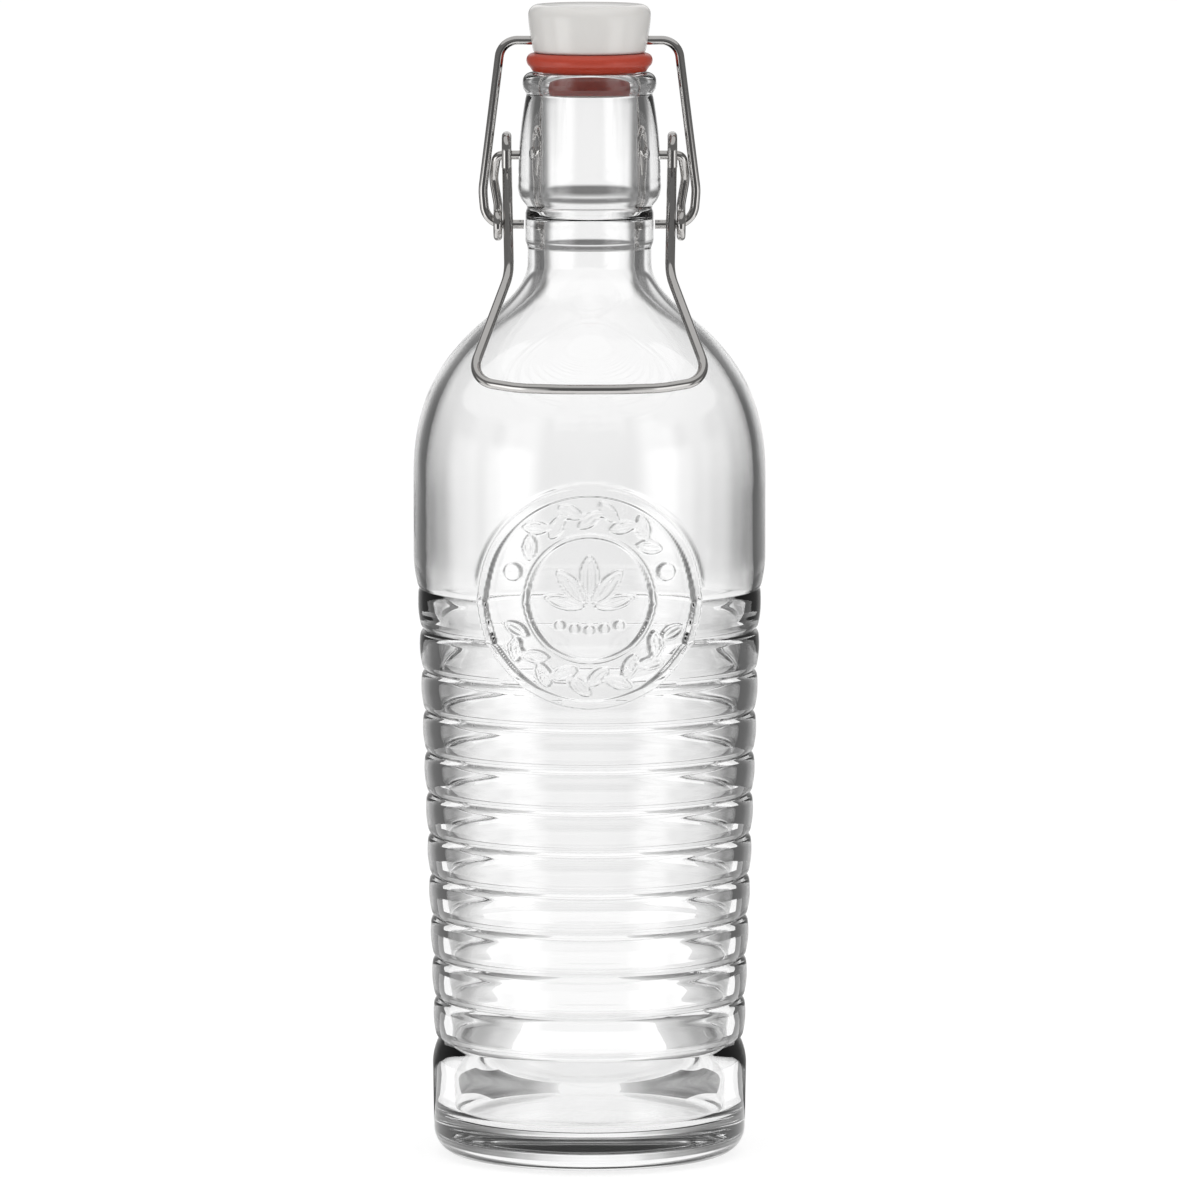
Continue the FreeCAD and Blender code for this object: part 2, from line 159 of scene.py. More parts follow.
print("a quarter turn in two steps", arc((1, 0), (math.sqrt(0.5), math.sqrt(0.5)), (0, 1), 2))

# %% [markdown]
# A turned piece: one vertex is extruded along the profile, then the line is spun once round
# the axis. A lathe works the same way, and the result has clean rings of quads. A Screw
# modifier would do it too; Spin leaves a plain mesh that can be cut and pressed afterwards.

# %% Turn a profile
def turned(name, profile, steps):
    """Closed solid of revolution about Z; the profile starts and ends on the axis or closes itself."""
    clear_selection()
    first = profile[0]
    bpy.ops.mesh.primitive_plane_add(size=0.001, location=(first[0] * MM, 0, first[1] * MM))
    piece = bpy.context.object
    piece.name = piece.data.name = name
    bpy.ops.object.transform_apply(location=True, rotation=True, scale=True)
    bpy.ops.object.mode_set(mode="EDIT")
    bpy.ops.mesh.merge(type="CENTER")
    at = first
    for to in profile[1:]:
        move = ((to[0] - at[0]) * MM, 0, (to[1] - at[1]) * MM)
        bpy.ops.mesh.extrude_vertices_move(TRANSFORM_OT_translate={"value": move})
        at = to
    bpy.ops.mesh.select_all(action="SELECT")
    bpy.ops.mesh.spin(steps=steps, angle=2 * math.pi, center=(0, 0, 0), axis=(0, 0, 1))
    bpy.ops.mesh.select_all(action="SELECT")
    bpy.ops.mesh.remove_doubles(threshold=0.000005)
    bpy.ops.mesh.normals_make_consistent(inside=False)
    bpy.ops.object.mode_set(mode="OBJECT")
    bpy.ops.object.shade_smooth()
    print(name, "has", triangles(piece), "triangles")
    return piece


# %% [markdown]
# The camera comes first, so that every look at a new piece is from the right place. The lens
# is long, as for product pictures: the bottle's sides stay nearly parallel.

# %% Camera
CAMERA_BACK = 2.600      # metres in front of the axis
CAMERA_UP = 0.430
AIM_UP = 0.1498
SENSOR = 36.0            # millimetres
LENS = 301.985

clear_selection()
bpy.ops.object.camera_add(location=(0, -CAMERA_BACK, CAMERA_UP))
camera = bpy.context.object
camera.name = "camera"
pitch = math.atan2(CAMERA_UP - AIM_UP, CAMERA_BACK)
camera.rotation_euler = (math.pi / 2 - pitch, 0, 0)
camera.data.sensor_width = SENSOR
camera.data.lens = LENS
camera.data.clip_end = 50
bpy.context.scene.camera = camera
print("lens", round(camera.data.lens, 1), "mm, looking down", round(math.degrees(pitch), 2), "degrees")

# %% [markdown]
# Nodes are added by one function: its settings go in by name and its links by socket.
# Colours are picked as sRGB hex values, and one function turns them to linear light.

# %% Material helpers
def linear(code):
    parts = [int(code[i:i + 2], 16) / 255 for i in (1, 3, 5)]
    return tuple(c / 12.92 if c <= 0.04045 else ((c + 0.055) / 1.055) ** 2.4 for c in parts) + (1.0,)


def add_node(tree, kind, settings=None, inputs=None, links=None):
    """Adds a node, sets its properties and input values, and links inputs from given sockets."""
    node = tree.nodes.new(kind)
    for key, value in (settings or {}).items():
        setattr(node, key, value)
    for key, value in (inputs or {}).items():
        node.inputs[key].default_value = value
    for key, socket in (links or {}).items():
        tree.links.new(socket, node.inputs[key])
    return node


def new_material(name):
    material = bpy.data.materials.new(name)
    material.use_nodes = True
    tree = material.node_tree
    tree.nodes.clear()
    return material, tree


def per_mm(size_mm):
    """Texture scale whose pattern repeats about every size_mm on Object coordinates in metres."""
    return 1.0 / (size_mm * MM)


print("middle grey #808080 is", round(linear("#808080")[0], 3), "in linear light")

# %% [markdown]
# Clear soda-lime glass, pressed and blown in a mould and fire-polished. The eye reads it from
# its edges: bright where it looks through to the back, dark where the glass bends the view to
# the sides. A very slow, shallow waviness keeps the reflections from looking like plastic.

# %% Glass
GLASS_IOR = 1.52
WAVE_MM = 14.0

glass, tree = new_material("clear soda-lime glass")
place = add_node(tree, "ShaderNodeTexCoord")
wave = add_node(tree, "ShaderNodeTexNoise",
                inputs={"Scale": per_mm(WAVE_MM), "Detail": 1.0, "Roughness": 0.4},
                links={"Vector": place.outputs["Object"]})
bump = add_node(tree, "ShaderNodeBump", inputs={"Strength": 0.35, "Distance": 0.00012},
                links={"Height": wave.outputs["Fac"]})
shader = add_node(tree, "ShaderNodeBsdfPrincipled",
                  inputs={"Base Color": linear("#FDFDFD"), "Roughness": 0.0, "IOR": GLASS_IOR,
                          "Transmission Weight": 1.0},
                  links={"Normal": bump.outputs["Normal"]})
add_node(tree, "ShaderNodeOutputMaterial", links={"Surface": shader.outputs["BSDF"]})
print(glass.name, "has", len(tree.nodes), "nodes")

# %% [markdown]
# Bright drawn stainless wire: a mirror at first sight, slightly softened by fine drawing lines.
# A metal's colour is the colour of its reflection, so the base colour alone makes it steel.

# %% Steel wire
DRAW_LINE_MM = 0.35      # real lines are finer; drawn as coarse as they need to be to show

steel, tree = new_material("bright drawn stainless wire")
place = add_node(tree, "ShaderNodeTexCoord")
lines = add_node(tree, "ShaderNodeTexNoise", inputs={"Scale": per_mm(DRAW_LINE_MM), "Detail": 2.0},
                 links={"Vector": place.outputs["Object"]})
dull = add_node(tree, "ShaderNodeMapRange",
                inputs={"From Min": 0.3, "From Max": 0.7, "To Min": 0.07, "To Max": 0.13},
                links={"Value": lines.outputs["Fac"]})
bump = add_node(tree, "ShaderNodeBump", inputs={"Strength": 0.03, "Distance": 0.00002},
                links={"Height": lines.outputs["Fac"]})
shader = add_node(tree, "ShaderNodeBsdfPrincipled",
                  inputs={"Base Color": linear("#C6C4C2"), "Metallic": 1.0},
                  links={"Roughness": dull.outputs["Result"], "Normal": bump.outputs["Normal"]})
add_node(tree, "ShaderNodeOutputMaterial", links={"Surface": shader.outputs["BSDF"]})
print(steel.name, "has", len(tree.nodes), "nodes")

# %% [markdown]
# The head is glossy and white. A thin clear skin over a faintly uneven white body gives it
# depth: the colour wanders by a few parts in a hundred over several millimetres.

# %% White stopper finish
CLOUD_MM = 9.0

white, tree = new_material("glossy white moulded stopper")
place = add_node(tree, "ShaderNodeTexCoord")
cloud = add_node(tree, "ShaderNodeTexNoise", inputs={"Scale": per_mm(CLOUD_MM), "Detail": 3.0},
                 links={"Vector": place.outputs["Object"]})
tint = add_node(tree, "ShaderNodeValToRGB", links={"Fac": cloud.outputs["Fac"]})
tint.color_ramp.elements[0].color = linear("#CFCDCA")
tint.color_ramp.elements[1].color = linear("#D9D7D4")
bump = add_node(tree, "ShaderNodeBump", inputs={"Strength": 0.15, "Distance": 0.00008},
                links={"Height": cloud.outputs["Fac"]})
shader = add_node(tree, "ShaderNodeBsdfPrincipled",
                  inputs={"Roughness": 0.32, "IOR": 1.5, "Coat Weight": 0.6, "Coat Roughness": 0.12,
                          "Subsurface Weight": 0.08, "Subsurface Radius": (0.004, 0.0035, 0.003)},
                  links={"Base Color": tint.outputs["Color"], "Normal": bump.outputs["Normal"]})
add_node(tree, "ShaderNodeOutputMaterial", links={"Surface": shader.outputs["BSDF"]})
print(white.name, "has", len(tree.nodes), "nodes")

# %% [markdown]
# Natural rubber, coloured orange-red and moulded smooth: a soft wide sheen, with fine pores.

# %% Rubber
PORE_MM = 0.5

rubber, tree = new_material("orange-red natural rubber")
place = add_node(tree, "ShaderNodeTexCoord")
pores = add_node(tree, "ShaderNodeTexNoise", inputs={"Scale": per_mm(PORE_MM), "Detail": 3.0},
                 links={"Vector": place.outputs["Object"]})
tint = add_node(tree, "ShaderNodeValToRGB", links={"Fac": pores.outputs["Fac"]})
tint.color_ramp.elements[0].color = linear("#A2331F")
tint.color_ramp.elements[1].color = linear("#B53F29")
bump = add_node(tree, "ShaderNodeBump", inputs={"Strength": 0.2, "Distance": 0.00005},
                links={"Height": pores.outputs["Fac"]})
shader = add_node(tree, "ShaderNodeBsdfPrincipled",
                  inputs={"Roughness": 0.33, "IOR": 1.52},
                  links={"Base Color": tint.outputs["Color"], "Normal": bump.outputs["Normal"]})
add_node(tree, "ShaderNodeOutputMaterial", links={"Surface": shader.outputs["BSDF"]})
print("materials", [m.name for m in (glass, steel, white, rubber)])

# %% [markdown]
# The glass wall is one closed skin: the outside from the mouth down to the middle of the base,
# and the inside back up. It needs both, because glass bends light at every surface it has.
# The upper part first: lip, barrel neck, ledge and collar, as the mould forms them.

# %% Glass sizes
BORE_R = 12.8
THROAT_R = 12.0
MOUTH_ROUND = 1.4
LIP_R = 17.6
LIP_H = 5.5
BARREL_R = 18.8
COLLAR_R = 16.9
COLLAR_LOW = 242.0
COLLAR_TOP = 249.9
NECK_R = 16.3
BODY_R = 46.5
BODY_TOP = 181.0
BODY_LOW = 158.8
WALL = 3.2
RIB_WALL = 4.0
LIP_LOW = LIP_TOP - LIP_H
LEDGE = COLLAR_TOP + 2.2
NECK_END = COLLAR_LOW - 5.6
SEAT_R = BORE_R + MOUTH_ROUND


def lip_and_neck():
    """Outside from the sealing face down to the end of the straight neck."""
    run = [(SEAT_R, LIP_TOP)]
    run += straight(run[-1], (LIP_R - 2.2, LIP_TOP), 3)
    run += arc(run[-1], (LIP_R - 0.6, LIP_TOP - 0.8), (LIP_R, LIP_TOP - 2.4), 7)
    run += arc(run[-1], (LIP_R - 0.15, LIP_LOW + 1.4), (LIP_R - 0.75, LIP_LOW + 0.3), 6)
    crease = rounded([run[-1], (LIP_R - 1.0, LIP_LOW - 0.3), (BARREL_R - 1.95, LIP_LOW - 1.2)], 0.5)
    run += crease[1:]
    run += bezier(run[-1], (BARREL_R - 1.1, LIP_LOW - 6.0), (BARREL_R, LEDGE + 16.0),
                  (BARREL_R, LEDGE + 5.6), 16)
    run += arc(run[-1], (BARREL_R - 0.4, LEDGE + 2.0), (BARREL_R - 1.7, LEDGE), 8)
    ledge = [run[-1], (COLLAR_R - 0.55, LEDGE - 1.0), (COLLAR_R, COLLAR_TOP), (COLLAR_R, COLLAR_LOW),
             (NECK_R, COLLAR_LOW - 1.2), (NECK_R, NECK_END)]
    run += rounded(ledge, 0.7)[1:]
    return run


print("lip and neck drawn with", len(lip_and_neck()), "points")

# %% [markdown]
# The shoulder is an S: it leaves the neck straight down, swings out at 40 degrees and turns
# back to vertical at the widest band. Two Bezier curves meet in the middle with one slope.

# %% Shoulder
SHOULDER_SLOPE = math.radians(40)
SHOULDER_MID = (NECK_R + 0.38 * (BODY_R - NECK_R), NECK_END - 0.273 * (NECK_END - BODY_TOP))
NECK_PULL = 0.345        # lengths of the four handles, as shares of the height or width they act on
BEFORE_PULL = 0.67
AFTER_PULL = 0.78
BAND_PULL = 0.484


def shoulder(top, low, mid, steps):
    """From the neck to the widest band by way of mid, for the outside and for the inside."""
    along = (math.cos(SHOULDER_SLOPE), -math.sin(SHOULDER_SLOPE))
    before = (mid[0] - top[0]) * BEFORE_PULL
    after = (low[0] - mid[0]) * AFTER_PULL
    upper = bezier(top, (top[0], top[1] - (top[1] - mid[1]) * NECK_PULL),
                   (mid[0] - along[0] * before, mid[1] - along[1] * before), mid, steps)
    lower = bezier(mid, (mid[0] + along[0] * after, mid[1] + along[1] * after),
                   (low[0], low[1] + (mid[1] - low[1]) * BAND_PULL), low, steps)
    return upper + lower


print("shoulder turns over at radius", round(SHOULDER_MID[0], 1), "and height", round(SHOULDER_MID[1], 1))

# %% [markdown]
# Eleven ribs run round the lower body. Each one is a wide, low bulge, fullest a little above
# its middle like an overlapping roof tile, and a narrow notch parts it from the next.
# Points crowd towards the grooves, where the surface turns sharply. A displacement texture
# could make ribs too, but only real shape bends the light at the bottle's edges.

# %% Ribs
RIB_COUNT = 11
RIB_PITCH = 10.92
GROOVE_TOP = 150.6
GROOVE_LOW = GROOVE_TOP - RIB_PITCH * RIB_COUNT
RIB_TOP_R = 45.5
RIB_LOW_R = 41.2
RIB_SAG = 1.25
RIB_LEAN = 0.87          # below 1 puts the crest above the middle
RIB_STEPS = 14
BULGE = 0.58             # share of the sag in the wide bulge; the rest is the narrow notch
NOTCH_W = 0.55
FIRST_EASE = 0.4         # the highest groove is this much of a full one
EASE_PER_RIB = 0.8       # and the ones below deepen by this much each
BAND_STEPS = 20
TURN_STEPS = 14          # points on the curve from the smooth band into the highest groove
TURN_POWER = 1.7


def crest_r(z):
    """Radius that the ribs' crests keep to: the body narrows a little towards the base."""
    share = (GROOVE_TOP - z) / (GROOVE_TOP - GROOVE_LOW)
    return RIB_TOP_R + (RIB_LOW_R - RIB_TOP_R) * share


def swell(u):
    """0 in the grooves, 1 on the crest, for u from the upper groove to the lower one."""
    bulge = 1 - BULGE * (2 * u**RIB_LEAN - 1) ** 2
    near = min(u, 1 - u) * RIB_PITCH
    return bulge - (1 - BULGE) * math.exp(-(near / NOTCH_W) ** 2)


def band_and_ribs():
    """Outside from the end of the shoulder down to the lowest groove."""
    run = straight((BODY_R, BODY_TOP), (BODY_R, BODY_LOW), BAND_STEPS)
    rim_r = crest_r(GROOVE_TOP) - RIB_SAG * BULGE * FIRST_EASE
    for k in range(1, TURN_STEPS + 1):
        t = math.sin(math.pi / 2 * k / TURN_STEPS)
        z = BODY_LOW + (GROOVE_TOP - BODY_LOW) * t
        notch = FIRST_EASE * RIB_SAG * (1 - BULGE) * math.exp(-((z - GROOVE_TOP) / NOTCH_W) ** 2)
        run.append((BODY_R + (rim_r - BODY_R) * t**TURN_POWER - notch, z))
    for rib in range(RIB_COUNT):
        for k in range(1, RIB_STEPS + 1):
            u = 0.5 - 0.5 * math.cos(math.pi * k / RIB_STEPS)
            z = GROOVE_TOP - RIB_PITCH * (rib + u)
            ease = min(1.0, FIRST_EASE + EASE_PER_RIB * (rib + u))
            run.append((crest_r(z) - ease * RIB_SAG * (1 - swell(u)), z))
    return run


print("ribs", RIB_COUNT, "of", RIB_PITCH, "mm, lowest groove at", round(GROOVE_LOW, 1), "mm")

# %% [markdown]
# The foot: a plain band, a rounded heel, a ring to stand on and a very shallow recess inside it,
# so that the bottle doesn't rock.

# %% Base
BASE_R = 41.6
BASE_BAND_TOP = 22.6
HEEL_R = 6.5
BEARING_W = 4.0
PUSH_UP = 0.12
RECESS_RINGS = 12


def base():
    """Outside from the lowest groove to the middle of the underside."""
    start = band_and_ribs()[-1]
    run = arc(start, (BASE_R - 0.45, (start[1] + BASE_BAND_TOP) / 2 + 0.8), (BASE_R, BASE_BAND_TOP), 6)
    side = (BASE_R - 0.3, HEEL_R)
    run += straight(run[-1], side, 8)
    foot = side[0] - HEEL_R
    diagonal = HEEL_R * math.sqrt(0.5)
    run += arc(side, (foot + diagonal, HEEL_R - diagonal), (foot, 0), 10)
    run += straight(run[-1], (foot - BEARING_W, 0), 2)
    inner = foot - BEARING_W
    for k in range(1, RECESS_RINGS + 1):
        r = inner * (1 - k / RECESS_RINGS)
        run.append((r, PUSH_UP * (1 - (r / inner) ** 2)))
    return run


print("base drawn with", len(base()), "points")

# %% [markdown]
# The inside follows the outside at the wall's thickness, but softly: molten glass rounds off,
# so the ribs only show there as faint waves. The floor is thick and slightly domed.

# %% Inside
FLOOR = 10.0
FLOOR_RISE = 1.0
FLOOR_CURVE = 4.0
INSIDE_WAVE = 0.3
SHELF = 248.6            # where the bore steps in to the throat
FLOOR_RINGS = 8
WALL_ROWS = 66
LEAN_START = 8           # the wall starts to thin out this far under the highest rib
WAVE_SHIFT = 0.45        # the waves are a little out of step with the ribs
WAVE_FADE = 0.5          # and die out over half a rib at both ends


def inside():
    """From the middle of the floor up to the sealing face."""
    foot_r = RIB_LOW_R - RIB_SAG - RIB_WALL
    flat = foot_r - FLOOR_CURVE
    run = [(0.0, FLOOR + FLOOR_RISE)]
    for k in range(1, FLOOR_RINGS + 1):
        r = flat * k / FLOOR_RINGS
        run.append((r, FLOOR + FLOOR_RISE * (1 - (r / flat) ** 2)))
    diagonal = FLOOR_CURVE * math.sqrt(0.5)
    foot = FLOOR + FLOOR_CURVE
    run += arc(run[-1], (flat + diagonal, foot - diagonal), (foot_r, foot), 10)
    top_r = RIB_TOP_R - RIB_SAG - RIB_WALL
    top_z = GROOVE_TOP - RIB_PITCH
    for k in range(1, WALL_ROWS + 1):
        z = foot + (BODY_LOW - foot) * k / WALL_ROWS
        share = max(0.0, (z - top_z + LEAN_START) / (BODY_LOW - top_z + LEAN_START))
        taper = foot_r + (top_r - foot_r) * (z - foot) / (top_z - foot)
        lean = taper + (BODY_R - WALL - taper) * share * share * (3 - 2 * share)
        u = (GROOVE_TOP - z) / RIB_PITCH
        wave = INSIDE_WAVE * math.cos(2 * math.pi * (u - WAVE_SHIFT))
        fade = max(0.0, min(1.0, u / WAVE_FADE, (RIB_COUNT - u) / WAVE_FADE))
        run.append((lean + wave * fade, z))
    up = (BODY_R - WALL, BODY_TOP - 1.5)
    run += straight(run[-1], up, 6)
    middle = (SHOULDER_MID[0] - math.sin(SHOULDER_SLOPE) * WALL,
              SHOULDER_MID[1] - math.cos(SHOULDER_SLOPE) * WALL)
    throat = (THROAT_R, COLLAR_LOW - 6.0)
    corner = MOUTH_ROUND * (1 - math.sqrt(0.5))
    run += list(reversed(shoulder(throat, up, middle, 14)[:-1]))
    run += rounded([throat, (THROAT_R + 0.1, SHELF - 3.0), (THROAT_R - 0.1, SHELF - 0.6),
                    (BORE_R, SHELF + 0.3), (BORE_R, LIP_TOP - 20)], 0.6, 5)
    run += straight(run[-1], (BORE_R, LIP_TOP - MOUTH_ROUND), 8)
    run += arc(run[-1], (BORE_R + corner, LIP_TOP - corner), (SEAT_R, LIP_TOP), 7)
    return run


print("inside drawn with", len(inside()), "points")

# %% [markdown]
# The whole wall is turned in one go, outside and inside together, so no seam can leak or show.
# The number of steps round is a bargain: smooth at the edges, light enough to cut and press.

# %% Turn the glass
GLASS_STEPS = 140

outside_points = lip_and_neck()
outside_points += shoulder((NECK_R, NECK_END), (BODY_R, BODY_TOP), SHOULDER_MID, 18)
outside_points += band_and_ribs() + base()
outline = outside_points + inside()
bottle = turned("bottle", outline, GLASS_STEPS)
bottle.data.materials.append(glass)
print("glass drawn with", len(outline), "points")

# %% [markdown]
# The lever's two pivot pins turn in shallow round dimples, one on each side of the barrel.
# A Boolean with a short cylinder sinks each dimple, and the tool is deleted after use.

# %% Pivot dimples
PIVOT = 264.8
DIMPLE_R = 1.5
DIMPLE_DEPTH = 2.2
CUTTER_LONG = 4.0

for side in (-1, 1):
    clear_selection()
    centre = side * (BARREL_R - DIMPLE_DEPTH + CUTTER_LONG / 2) * MM
    bpy.ops.mesh.primitive_cylinder_add(vertices=32, radius=DIMPLE_R * MM, depth=CUTTER_LONG * MM,
                                        location=(centre, 0, PIVOT * MM), rotation=(0, math.pi / 2, 0))
    tool = bpy.context.object
    pick(bottle)
    cut = bottle.modifiers.new("dimple", "BOOLEAN")
    cut.operation = "DIFFERENCE"
    cut.object = tool
    bpy.ops.object.modifier_apply(modifier=cut.name)
    bpy.data.objects.remove(tool)
print("dimples cut;", triangles(bottle), "triangles")

# %% [markdown]
# The round medallion is pressed into the front of the body. Only this patch needs fine
# relief, so only its faces are subdivided; the rest of the glass keeps its coarse rings. A
# Multiresolution modifier would refine the whole bottle and make it far too heavy.

# %% Finer skin under the medallion
MED_R = 28.9
MED_Z = 152.3
MED_MARGIN = 1.6
MED_CUTS = 3
PATCH_MORE = 1.5         # faces are chosen by their middles, so a little further out
SKIN_UP = 0.8            # faces this far outside the inner wall belong to the outside
SKIN_LESS = 1.2          # less than that where the ribs are

pick(bottle)
patch = [False] * len(bottle.data.polygons)
patch_r = MED_R + MED_MARGIN
for i, face in enumerate(bottle.data.polygons):
    x, y, z = face.center / MM
    outer = math.hypot(x, y) > BODY_R - WALL + SKIN_UP - (SKIN_LESS if z < GROOVE_TOP else 0.0)
    near = math.hypot(x, z - MED_Z) < patch_r + PATCH_MORE
    patch[i] = outer and near and y < 0 and face.normal.y < 0
bpy.ops.object.mode_set(mode="EDIT")
bpy.ops.mesh.select_all(action="DESELECT")
bpy.ops.object.mode_set(mode="OBJECT")
bottle.data.polygons.foreach_set("select", patch)
bpy.ops.object.mode_set(mode="EDIT")
bpy.ops.mesh.subdivide(number_cuts=MED_CUTS)
bpy.ops.object.mode_set(mode="OBJECT")
print("patch of", sum(patch), "faces refined;", triangles(bottle), "triangles")

# %% [markdown]
# Relief as heights. Each ornament is a distance to its edge in millimetres, and a soft step
# turns that distance into a height with rounded shoulders, as pressed glass has. The rim and
# the inner ring are circles, and the band between them carries a wreath of leaves. Sculpting
# would do, but distances give even, repeatable edges like those of a cut mould.

# %% Ornaments
FIELD_R = 45.72
RELIEF = 0.76
RIM_W = 2.2
RING_R = 17.0
RING_W = 1.1
DOT_R = 2.3
DOT_X = 20.2
DOT_DZ = 6.6
SOFT = 0.40
BOUGHS = ((40, 140, 9), (204, 336, 12))      # from and to in degrees, and the number of leaves
BOUGH_HALF = 0.35
LEAF_LONG, LEAF_WIDE = 7.0, 3.4
LEAF_SIDE = 1.3          # how far a leaf's middle stands off the bough
LEAF_TURN = 38           # degrees between leaf and bough
FAN = ((90, 12.5, 5.0), (50, 11.5, 4.4), (130, 11.5, 4.4), (14, 10.5, 3.8), (166, 10.5, 3.8))
FAN_ROOT = -2.6
DROP_COUNT, DROP_R, DROP_APART = 5, 1.25, 3.8
DROP_LOW, DROP_SAG = 7.0, 1.2


def step(inside_by):
    """0 outside an edge, 1 inside it, with a soft shoulder SOFT millimetres wide."""
    t = np.clip(inside_by / SOFT + 0.5, 0, 1)
    return t * t * (3 - 2 * t)


def leaf(x, z, cx, cz, turn, length, width):
    """A pointed leaf with a raised edge, a lower middle and a midrib, its tip in the direction turn."""
    c, s = math.cos(turn), math.sin(turn)
    u = ((x - cx) * c + (z - cz) * s) / (length / 2)
    v = (-(x - cx) * s + (z - cz) * c)
    half = width / 2 * np.clip(1 - u * u, 0, 1) ** 0.75
    edge = np.where(np.abs(u) < 1, half - np.abs(v), -1.0)
    rib = 0.5 * np.exp(-(v / 0.3) ** 2) * (np.abs(u) < 0.7)
    return np.clip(step(edge) * (1 - 0.6 * step(edge - 0.65)) + rib * step(edge), 0, 1)


def wreath(x, z):
    """Leaves along two boughs, above and below, that leave room for the dots."""
    height = np.zeros_like(x)
    middle = (RING_R + MED_R - RIM_W) / 2
    sweep = np.arctan2(z, x) % (2 * math.pi)
    for start, end, count in BOUGHS:
        on = (sweep > math.radians(start - 4)) & (sweep < math.radians(end + 4))
        bough = BOUGH_HALF - np.abs(np.hypot(x, z) - middle)
        height = np.maximum(height, 0.6 * step(bough) * on)
        for k in range(count):
            angle = math.radians(start + (end - start) * k / (count - 1))
            outward = 1 if k % 2 else -1
            spot = middle + LEAF_SIDE * outward
            turn = angle + math.pi / 2 - outward * math.radians(LEAF_TURN)
            height = np.maximum(height, leaf(x, z, spot * math.cos(angle), spot * math.sin(angle), turn,
                                             LEAF_LONG, LEAF_WIDE))
    return height


def palmette(x, z):
    """Five leaves that fan out from one root, over a row of round drops."""
    height = np.zeros_like(x)
    for degrees, length, width in FAN:
        turn = math.radians(degrees)
        off = 1.5 + length / 2
        height = np.maximum(height, leaf(x, z, off * math.cos(turn), FAN_ROOT + off * math.sin(turn), turn,
                                         length, width))
    row_half = DROP_APART * (DROP_COUNT - 1) / 2
    for k in range(DROP_COUNT):
        cx = -row_half + DROP_APART * k
        cz = -DROP_LOW - DROP_SAG * (1 - (cx / row_half) ** 2)
        height = np.maximum(height, step(DROP_R - np.hypot(x - cx, z - cz)))
    return height


print("wreath of", sum(bough[2] for bough in BOUGHS), "leaves, palmette of", len(FAN))

# %% [markdown]
# The ornaments become shape: each fine vertex of the patch moves in or out along its radius. The
# subdivision put new vertices on straight lines between the old ones, so their radii are set
# again from the profile first. Inside the rim the field is level and carries the ornaments, and
# a shallow moat round the rim makes its outer edge stand out.

# %% Press the relief
MOAT_W = 1.1
MOAT_DEEP = 0.5
ON_PROFILE = 0.25        # vertices this near to the outside profile are moved
REACH_MORE = 3.5

points = np.zeros(len(bottle.data.vertices) * 3)
bottle.data.vertices.foreach_get("co", points)
points = points.reshape(-1, 3) / MM
x, y, z = points.T
radius = np.hypot(x, y)
body_run = sorted((p[1], p[0]) for p in outside_points if BASE_BAND_TOP < p[1] < NECK_END)
true_r = np.interp(z, [p[0] for p in body_run], [p[1] for p in body_run])
around = np.arctan2(x, -y)
across = np.hypot(x, z - MED_Z)
skin = (y < 0) & (np.abs(radius - true_r) < ON_PROFILE) & (across < patch_r + REACH_MORE)

dx, dz = x[skin], (z - MED_Z)[skin]
far = across[skin]
rim = step(MED_R - far) * step(far - (MED_R - RIM_W))
inner_ring = step(RING_R - far) * step(far - (RING_R - RING_W))
dots = np.maximum.reduce([step(DOT_R - np.hypot(dx - side * DOT_X, dz - DOT_DZ)) for side in (-1, 1)])
in_ring = step(RING_R - RING_W - 0.8 - far)
in_band = step(MED_R - RIM_W - 0.6 - far) * step(far - RING_R - 0.6)
ornament = np.maximum.reduce([rim, inner_ring, 0.9 * dots, 0.95 * in_ring * palmette(dx, dz),
                              0.95 * in_band * wreath(dx, dz)])
plaque_r = FIELD_R + RELIEF * ornament
moat = MOAT_DEEP * np.exp(-((far - MED_R - MOAT_W / 2) / (MOAT_W / 2)) ** 2)
outside_r = np.minimum(true_r[skin], BODY_R - moat)
blend = step(MED_R - far)
new_r = plaque_r * blend + outside_r * (1 - blend)
points[skin, 0] = np.sin(around[skin]) * new_r
points[skin, 1] = -np.cos(around[skin]) * new_r
bottle.data.vertices.foreach_set("co", (points * MM).ravel())
bottle.data.update()
print("relief pressed into", int(skin.sum()), "vertices")

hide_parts("glass_bottle")
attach(bottle, "bottle")

# %% [markdown]
# The stopper: a wide head that swells towards its top edge, a stem, and a small flange that
# holds the gasket on. It is one moulded piece, so it is turned in one go.

# %% Stopper
HEAD_R = 16.1
HEAD_LOW_R = 14.6
HEAD_H = 13.1
HEAD_LOW = HEAD_TOP - HEAD_H
STEM_R = 7.4
NOSE_R = 9.4
NOSE_TOP = LIP_TOP - 4.2
NOSE_H = 2.0
CROWN_R = HEAD_R - 3.0   # the slightly domed top inside the rounded edge
CROWN_RISE = 0.4
CROWN_RINGS = 10

